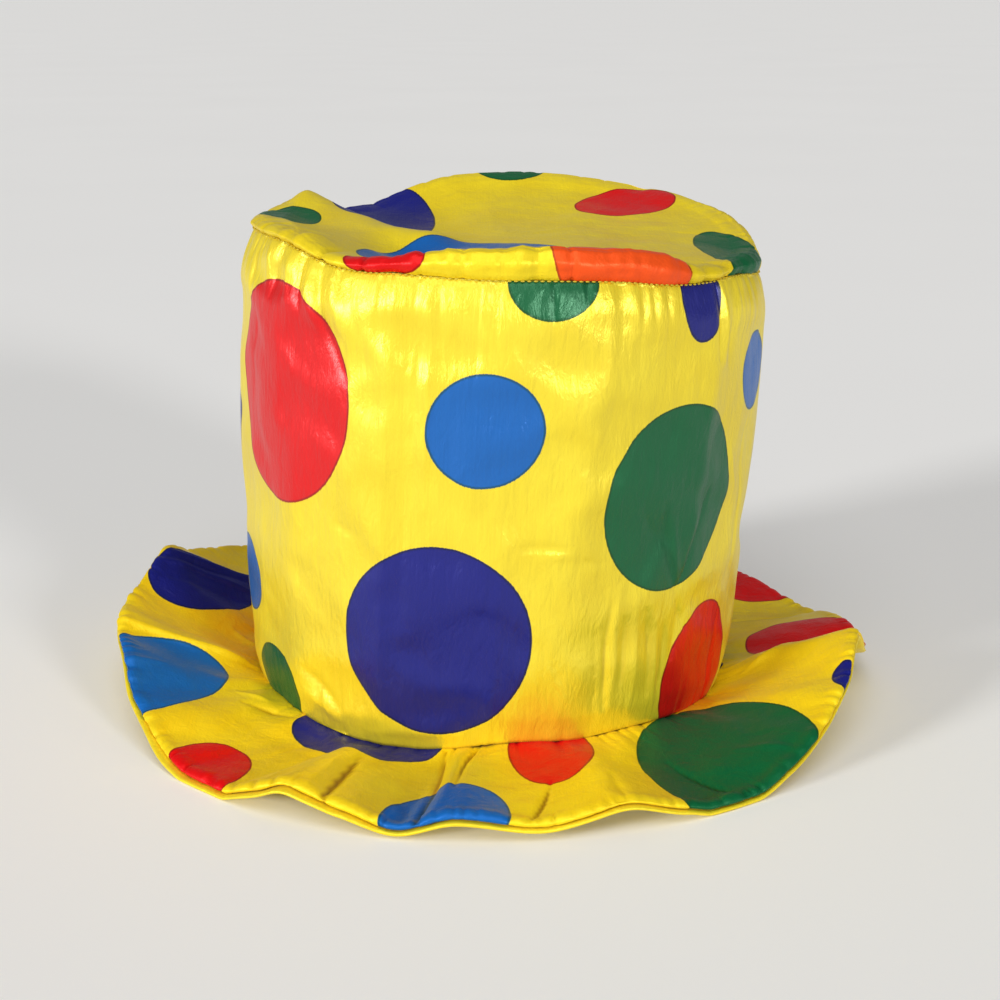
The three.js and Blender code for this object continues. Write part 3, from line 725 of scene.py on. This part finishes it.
def volume(points, quads, triangles):
    """Signed volume inside a closed surface: a sixth of the sum of a . (b x c)."""
    three = join([quads[:, [0, 1, 2]], quads[:, [0, 2, 3]], triangles])
    a, b, c = (points[three[:, k]] for k in range(3))
    return (a * np.cross(b, c)).sum() / 6


def in_scene(name, data):
    """A new object in the scene."""
    thing = bpy.data.objects.new(name, data)
    bpy.context.scene.collection.objects.link(thing)
    return thing


def mesh_of(name, points, quads, triangles, cloth, gap, ink, finishes, marks, girth):
    """Puts a surface into a mesh: millimetres to metres, faces outwards, smooth shading, cloth
    millimetres as its UV map, and the dots' distance and ink as attributes."""
    if volume(points, quads, triangles) < 0:
        quads, triangles = quads[:, ::-1], triangles[:, ::-1]
    corners = join([quads.ravel(), triangles.ravel()]).astype(np.int32)
    sizes = join([np.full(len(quads), 4), np.full(len(triangles), 3)])
    starts = join([[0], np.cumsum(sizes)[:-1]]).astype(np.int32)
    mesh = bpy.data.meshes.new(name)
    mesh.vertices.add(len(points))
    mesh.vertices.foreach_set("co", (points * METRES).astype(np.float32).ravel())
    mesh.loops.add(len(corners))
    mesh.loops.foreach_set("vertex_index", corners)
    mesh.polygons.add(len(sizes))
    mesh.polygons.foreach_set("loop_start", starts)
    for finish in finishes:
        mesh.materials.append(finish)
    mesh.polygons.foreach_set("material_index", marks.astype(np.int32))
    mesh.update(calc_edges=True)
    mesh.polygons.foreach_set("use_smooth", np.ones(len(sizes), bool))
    layer = mesh.uv_layers.new(name="cloth")
    places = cloth[corners]
    if girth:  # faces across the back seam go on past the girth
        four = places[: quads.size].reshape(-1, 4, 2)
        crossing = np.ptp(four[..., 0], axis=1)[:, None] > girth / 2
        four[..., 0] += girth * (crossing & (four[..., 0] < 0))
    layer.data.foreach_set("uv", (places * METRES).astype(np.float32).ravel())
    near = mesh.attributes.new("dot_gap", "FLOAT", "POINT")
    near.data.foreach_set("value", gap.astype(np.float32))
    inks = mesh.attributes.new("dot_ink", "FLOAT_COLOR", "POINT")
    inks.data.foreach_set("color", ink.astype(np.float32).ravel())
    return in_scene(name, mesh)


NO_DOT = 50.0  # millimetres: a place far from every dot
PALEST = 0.7  # millimetres deep: valleys that hold no shade
DARKEST = 1.7  # and the ones that hold the most


def cloth_piece(name, surface, table, finishes, girth=0.0, capped=False):
    """A piece of printed cloth from its surface. Dots are on outer faces alone; a capped surface
    has a pole at each end, another one closes on itself."""
    points, cloth, outer, valley = surface
    rows, columns = outer.shape
    if table:
        gap, which = dot_fields(cloth, table, girth)
        inks = np.array([[*linear(INKS[row[-1]]), 1.0] for row in table])[which]
    else:
        gap = np.full(outer.shape, NO_DOT)
        inks = np.ones((*outer.shape, 4))
    gap = np.where(outer, gap, NO_DOT)
    quads = tube_faces(rows, columns, not capped)
    flat, places, gap = points.reshape(-1, 3), cloth.reshape(-1, 2), gap.ravel()
    inks = inks.reshape(-1, 4)
    # Painted shade of the folds: none where a charted valley is PALEST deep, the most where it is
    # DARKEST deep
    crease_shade = step(-valley.ravel(), PALEST, DARKEST)
    triangles = np.zeros((0, 3), int)
    marks = np.repeat(~outer[: len(quads) // columns].all(1), columns)
    if capped:
        poles = [points[0].mean(0), points[-1].mean(0)]
        flat = join([flat, poles])
        places = join([places, np.zeros((2, 2))])
        gap = join([gap, [NO_DOT, NO_DOT]])
        inks = join([inks, inks[:2]])
        crease_shade = join([crease_shade, [0, 0]])
        first, last = rows * columns, rows * columns + 1
        top, bottom = cap_faces(0, first, columns), cap_faces(rows - 1, last, columns)
        triangles = join([top, bottom[:, ::-1]])
        marks = join([marks, np.zeros(columns, bool), np.ones(columns, bool)])
    piece = mesh_of(name, flat, quads, triangles, places, gap, inks, finishes, marks, girth)
    crease_shade_layer = piece.data.attributes.new("painted_crease_shade", "FLOAT", "POINT")
    crease_shade_layer.data.foreach_set("value", crease_shade.astype(np.float32))
    return piece


STITCH_PITCH = 2.3
STITCH_LENGTH = 1.5
STITCH_THICK = 0.34
STITCH_OUT = 0.1  # how far the thread's middle lies outside the seam
STITCH_END = 0.85  # share of the half length where the last ring stands
STITCH_RINGS, STITCH_SIDES = 5, 6


def seam_stitches(name, finish_of_thread):
    """Thread along the top seam: small capsules end to end, each a ring of points that swells
    and closes by the square root of one less the place squared, turned along the seam."""
    count = int(GIRTH / STITCH_PITCH)
    azimuth = FULL_TURN * np.arange(count) / count
    ends = np.ones(count)
    plan = polar(side_radius(azimuth, ends) + STITCH_OUT, azimuth) + (lean(1.0), 0)
    middle = placed(plan, seam_height(azimuth) + SEAM_GAP)
    along = np.roll(middle, -1, 0) - np.roll(middle, 1, 0)
    along /= np.linalg.norm(along, axis=1, keepdims=True)
    outward = join([polar(1.0, azimuth), np.zeros((count, 1))], 1)
    upward = np.cross(outward, along)
    place = np.linspace(-STITCH_END, STITCH_END, STITCH_RINGS)
    turn = math.tau * np.arange(STITCH_SIDES) / STITCH_SIDES
    thick = STITCH_THICK * np.sqrt(1 - place**2)
    ring = np.cos(turn)[:, None, None] * outward + np.sin(turn)[:, None, None] * upward
    points = middle + (place * STITCH_LENGTH / 2)[:, None, None, None] * along
    points = points + thick[:, None, None, None] * ring
    poles = middle + np.array([-0.5, 0.5])[:, None, None] * STITCH_LENGTH * along
    points = join([points.reshape(-1, count, 3), poles])  # places by stitches
    each = tube_faces(STITCH_RINGS, STITCH_SIDES, False)
    first = STITCH_RINGS * STITCH_SIDES
    start_cap = cap_faces(0, first, STITCH_SIDES)
    end_cap = cap_faces(STITCH_RINGS - 1, first + 1, STITCH_SIDES)[:, ::-1]
    caps = join([start_cap, end_cap])
    number = np.arange(count)
    quads = (each[:, None] * count + number[:, None]).reshape(-1, 4)
    triangles = (caps[:, None] * count + number[:, None]).reshape(-1, 3)
    flat = points.reshape(-1, 3)
    nothing = np.zeros((len(flat), 2))
    gap, ink = np.full(len(flat), NO_DOT), np.ones((len(flat), 4))
    marks = np.zeros(len(quads) + len(triangles), int)
    return mesh_of(name, flat, quads, triangles, nothing, gap, ink, (finish_of_thread,), marks, 0)


# Finishes


def add(tree, kind, inputs=(), out=0, **settings):
    """Adds a node and gives one of its outputs: settings are its own properties, inputs pairs of
    a socket's name or number with a value or with another node's output."""
    node = tree.nodes.new("ShaderNode" + kind)
    for key, value in settings.items():
        setattr(node, key, value)
    for key, value in dict(inputs).items():
        if isinstance(value, bpy.types.NodeSocket):
            tree.links.new(value, node.inputs[key])
        else:
            node.inputs[key].default_value = value
    return node.outputs[out] if node.outputs else None


def finish(name):
    """A new material with an emptied node tree."""
    material = bpy.data.materials.new(name)
    material.use_nodes = True
    tree = material.node_tree
    tree.nodes.clear()
    return material, tree


def satin(name, ground, shade, rough, crumples, metal, gloss, coat):
    """Polyester satin, woven in long floats and printed by heat transfer, on thin foam: a soft
    shine that spreads across the floats and breaks up where the cloth bends. Takes two tones of
    the ground, how rough, crumples to the metre, and the metallic, specular level and coat."""
    material, tree = finish(name)
    cloth = add(tree, "UVMap", uv_map="cloth", out="UV")
    gap = add(tree, "Attribute", attribute_name="dot_gap", out="Fac")
    ink = add(tree, "Attribute", attribute_name="dot_ink", out="Color")
    # Slubs: single thick threads, 0.25 mm across on the real cloth, drawn 0.7 mm to show
    slubs = add(tree, "Mapping", {"Vector": cloth, "Scale": (1400, 60, 1)})
    slub = add(tree, "TexNoise", {
        "Vector": slubs, "Scale": 1.0, "Detail": 3.0, "Roughness": 0.6,
    }, out="Fac")
    # Cloudiness of the dye, patches of about 30 mm
    cloud = add(tree, "TexNoise", {"Vector": cloth, "Scale": 33.0, "Detail": 2.0}, out="Fac")
    uneven = add(tree, "MapRange", {"Value": cloud, "From Min": 0.35, "From Max": 0.65})
    base = add(tree, "Mix", {
        0: uneven, 6: (*linear(ground), 1), 7: (*linear(shade), 1),
    }, data_type="RGBA", out=2)
    # The print's edge wanders by about a tenth of a millimetre as the ink follows the threads
    wander = add(tree, "Math", {0: slub, 1: -0.5}, operation="ADD")
    edge = add(tree, "Math", {0: wander, 1: 0.6, 2: gap}, operation="MULTIPLY_ADD")
    printed = add(tree, "MapRange", {
        "Value": edge, "From Min": 0.18, "From Max": -0.18,
    }, interpolation_type="SMOOTHSTEP")
    # Overprint: where the dot's ink lies on the yellow, a dark line 0.8 mm wide
    rim = add(tree, "MapRange", {
        "Value": edge, "From Min": -1.1, "From Max": -0.45, "To Max": 0.9,
    }, interpolation_type="SMOOTHSTEP")
    over = add(tree, "Mix", {
        0: 1.0, 6: ink, 7: (0.45, 0.6, 0.3, 1),
    }, data_type="RGBA", blend_type="MULTIPLY", out=2)
    dot = add(tree, "Mix", {0: rim, 6: ink, 7: over}, data_type="RGBA", out=2)
    colour = add(tree, "Mix", {0: printed, 6: base, 7: dot}, data_type="RGBA", out=2)
    tone = add(tree, "MapRange", {
        "Value": slub, "From Min": 0.3, "From Max": 0.7, "To Min": 0.96, "To Max": 1.02,
    })
    toned = add(tree, "VectorMath", {0: colour, "Scale": tone}, operation="SCALE")
    # Painted shade: sharp folds are darkened towards brown by how deep their charted crease is
    fold = add(tree, "Attribute", attribute_name="painted_crease_shade", out="Fac")
    crease_shaded = add(tree, "Mix", {
        0: fold, 6: toned, 7: (0.5, 0.36, 0.2, 1),
    }, data_type="RGBA", blend_type="MULTIPLY", out=2)
    roughness = add(tree, "MapRange", {
        "Value": slub, "From Min": 0.3, "From Max": 0.7,
        "To Min": rough - 0.04, "To Max": rough + 0.05,
    })
    # Crumple: creases too fine for the mesh, 5 to 13 mm long and drawn up to 0.8 mm deep
    drawn = add(tree, "Mapping", {"Vector": cloth, "Scale": crumples})
    crumple = add(tree, "TexNoise", {
        "Vector": drawn, "Scale": 1.0, "Detail": 5.0, "Roughness": 0.6, "Distortion": 0.4,
    }, out="Fac")
    weave = add(tree, "Bump", {"Height": slub, "Strength": 0.35, "Distance": 0.00012})
    relief = add(tree, "Bump", {"Height": crumple, "Strength": 0.8, "Distance": 0.001, "Normal": weave})
    # The floats run up and down the hat, so the sheen spreads round it
    floats = add(tree, "Tangent", direction_type="UV_MAP", uv_map="cloth")
    # The printed film on the threads is the thin coat
    shader = add(tree, "BsdfPrincipled", {
        "Base Color": crease_shaded, "Roughness": roughness, "Normal": relief, "Metallic": metal,
        "IOR": 1.52, "Specular IOR Level": gloss, "Anisotropic": 0.5, "Tangent": floats,
        "Sheen Weight": 0.03, "Sheen Roughness": 0.35, "Coat Weight": coat, "Coat Roughness": 0.4,
    })
    add(tree, "OutputMaterial", {"Surface": shader})
    return material


def foam_backing(name):
    """Open-cell polyurethane foam, laminated to the satin: matt, cream, with fine pores."""
    material, tree = finish(name)
    place = add(tree, "TexCoord", out="Object")
    # Pores 0.5 mm across, drawn 1 mm to show, with painted shade darkening each towards its middle
    pores = add(tree, "TexVoronoi", {"Vector": place, "Scale": 1000.0}, out="Distance")
    tone = add(tree, "MapRange", {
        "Value": pores, "From Min": 0.1, "From Max": 0.8, "To Min": 1.0, "To Max": 0.0,
    })
    colour = add(tree, "Mix", {
        0: tone, 6: (*linear("#F3EBC0"), 1), 7: (*linear("#DCCB86"), 1),
    }, data_type="RGBA", out=2)
    relief = add(tree, "Bump", {"Height": pores, "Strength": 0.5, "Distance": 0.0004})
    shader = add(tree, "BsdfPrincipled", {
        "Base Color": colour, "Normal": relief, "Roughness": 0.9, "IOR": 1.5,
    })
    add(tree, "OutputMaterial", {"Surface": shader})
    return material


def thread(name):
    """Spun polyester sewing thread, two-ply: a dull shine and slanted plies."""
    material, tree = finish(name)
    place = add(tree, "TexCoord", out="Object")
    plies = add(tree, "TexWave", {
        "Vector": place, "Scale": 2500.0, "Distortion": 0.5,
    }, bands_direction="DIAGONAL", out="Fac")
    # The thread is drawn darker than the cloth as painted shade of the needle holes along the seam; its
    # two tones mark the plies
    colour = add(tree, "Mix", {
        0: plies, 6: (*linear("#D8BE2C"), 1), 7: (*linear("#B0981E"), 1),
    }, data_type="RGBA", out=2)
    relief = add(tree, "Bump", {"Height": plies, "Strength": 0.4, "Distance": 0.0001})
    shader = add(tree, "BsdfPrincipled", {
        "Base Color": colour, "Normal": relief, "Roughness": 0.6, "IOR": 1.5,
    })
    add(tree, "OutputMaterial", {"Surface": shader})
    return material


def studio_floor(name):
    """Matt white paper sweep with a faint unevenness."""
    material, tree = finish(name)
    place = add(tree, "TexCoord", out="Object")
    cloud = add(tree, "TexNoise", {"Vector": place, "Scale": 2.0}, out="Fac")
    colour = add(tree, "Mix", {
        0: cloud, 6: (*linear("#F6F5F3"), 1), 7: (*linear("#F2F1EF"), 1),
    }, data_type="RGBA", out=2)
    shader = add(tree, "BsdfPrincipled", {"Base Color": colour, "Roughness": 0.8})
    add(tree, "OutputMaterial", {"Surface": shader})
    return material


# Pieces

foam = foam_backing("foam_backing_polyurethane")
crown_satin = satin(
    "printed_satin_crown", "#F2DB30", "#ECD228",
    rough=0.34, crumples=(210, 75, 1), metal=0.32, gloss=0.5, coat=0.12,
)
# The top's and the brim's copies of the satin have a deeper, more orange ground than the crown's:
# painted shade of the pieces that face up
top_satin = satin(
    "printed_satin_top", "#F1D722", "#ECCF1C",
    rough=0.42, crumples=(110, 110, 1), metal=0.3, gloss=0.3, coat=0.0,
)
brim_satin = satin(
    "printed_satin_brim", "#F5D51A", "#F0CC15",
    rough=0.42, crumples=(130, 130, 1), metal=0.2, gloss=0.2, coat=0.0,
)
under_satin = satin(
    "plain_satin_brim_under", "#F3DA2A", "#EDD124",
    rough=0.42, crumples=(130, 130, 1), metal=0.3, gloss=0.3, coat=0.0,
)

# Brim's layers: bottom and top above the joint, reach past the width
UPPER = (0, UPPER_LAYER, 0)
LOWER = (-LAYER_FLOOR, -SEAM_GAP, UNDER_REACH)

# Grids, coarse for the simulation and fine: columns, then rows of each stretch of the section
SIDE_COARSE, SIDE_FINE = (240, 70, 4), (680, 124, 8)
TOP_COARSE, TOP_FINE = (240, 40, 20, 4), (420, 78, 48, 16)
UPPER_COARSE, UPPER_FINE = (320, 30, 4, 4), (820, 92, 10, 12)
LOWER_FINE = (480, 24, 10, 24)

# Buckles of the outer faces: which way is out, how much longer the cloth is, the most they rise
side_form = side_surface(*SIDE_COARSE)[0][: SIDE_COARSE[1]]
side_buckle = buckles(side_form, 1, spare=0.012, cap=1.1)
top_form = top_surface(*TOP_COARSE)[0][: sum(TOP_COARSE[1:3])]
top_buckle = buckles(top_form, -1, spare=0.01, cap=1.2)
brim_form = brim_surface(*UPPER, *UPPER_COARSE)[0][: sum(UPPER_COARSE[1:3]) + 1]
brim_buckle = buckles(brim_form, -1, spare=0.012, cap=1.1)

side_cloth = side_surface(*SIDE_FINE, side_buckle)
side = cloth_piece("crown_side_satin", side_cloth, SIDE_DOTS, (crown_satin, foam), GIRTH)
top_cloth = top_surface(*TOP_FINE, top_buckle)
top = cloth_piece("crown_top_satin", top_cloth, TOP_DOTS, (top_satin, foam), capped=True)
upper_cloth = brim_surface(*UPPER, *UPPER_FINE, brim_buckle)
upper = cloth_piece("brim_upper_satin", upper_cloth, BRIM_DOTS, (brim_satin, foam))
lower_cloth = brim_surface(*LOWER, *LOWER_FINE)
lower = cloth_piece("brim_under_satin", lower_cloth, (), (under_satin, under_satin))

sewing = seam_stitches("top_seam_stitches", thread("thread_spun_polyester"))
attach(sewing, "root")

# Piece, the node it replaces, that node's material slot, how full the padding is
PIECES = (
    (side, "crown_side", "satin_crown", 0.35), (top, "crown_top", "satin_top", 0.3),
    (upper, "brim_upper", "satin_brim", 0.35), (lower, "brim_under", "satin_under", 0.2),
)
for piece, node, material_slot, fill in PIECES:
    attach(piece, "root")
    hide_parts(node)


# Studio


def softbox(name, azimuth, elevation, spread, power):
    """A far softbox: parallel light from an azimuth and an elevation, spread over an angle."""
    a, e = math.radians(azimuth), math.radians(elevation)
    out = Vector((math.cos(a) * math.cos(e), math.sin(a) * math.cos(e), math.sin(e)))
    light = bpy.data.lights.new(name, "SUN")
    light.energy, light.angle = power, math.radians(spread)
    in_scene(name, light).rotation_euler = out.to_track_quat("Z", "Y").to_euler()


# Azimuth and elevation, spread in degrees, power
softbox("softbox_left", 214, 14, 12, 2.2)
softbox("softbox_right", 305, 14, 10, 1.35)
softbox("softbox_above", 262, 60, 50, 1.15)

world = bpy.data.worlds.new("studio_air")
world.use_nodes = True
air = world.node_tree.nodes["Background"]
air.inputs["Color"].default_value = (1, 1, 1, 1)
air.inputs["Strength"].default_value = 0.22
bpy.context.scene.world = world

FLOOR_HALF = 150.0  # metres, so that its edge is far off
SQUARE = ((-1, -1), (1, -1), (1, 1), (-1, 1))
floor_mesh = bpy.data.meshes.new("studio_floor")
corners = [(x * FLOOR_HALF, y * FLOOR_HALF, 0) for x, y in SQUARE]
floor_mesh.from_pydata(corners, [], [(0, 1, 2, 3)])
floor_mesh.materials.append(studio_floor("paper_sweep_matt"))
in_scene("studio_floor", floor_mesh)

# The photo's own view: millimetres of lens, metres, degrees below level
LENS, SENSOR = 61.02, 36.0
CAMERA_PLACE = (0.00208, -0.67969, 0.2776)
CAMERA_DOWN = 16.6

camera_data = bpy.data.cameras.new("camera")
camera_data.lens, camera_data.sensor_width = LENS, SENSOR
camera = in_scene("camera", camera_data)
camera.location = CAMERA_PLACE
camera.rotation_euler = (math.radians(90 - CAMERA_DOWN), 0, 0)
bpy.context.scene.camera = camera
bpy.context.scene.view_settings.view_transform = "Standard"
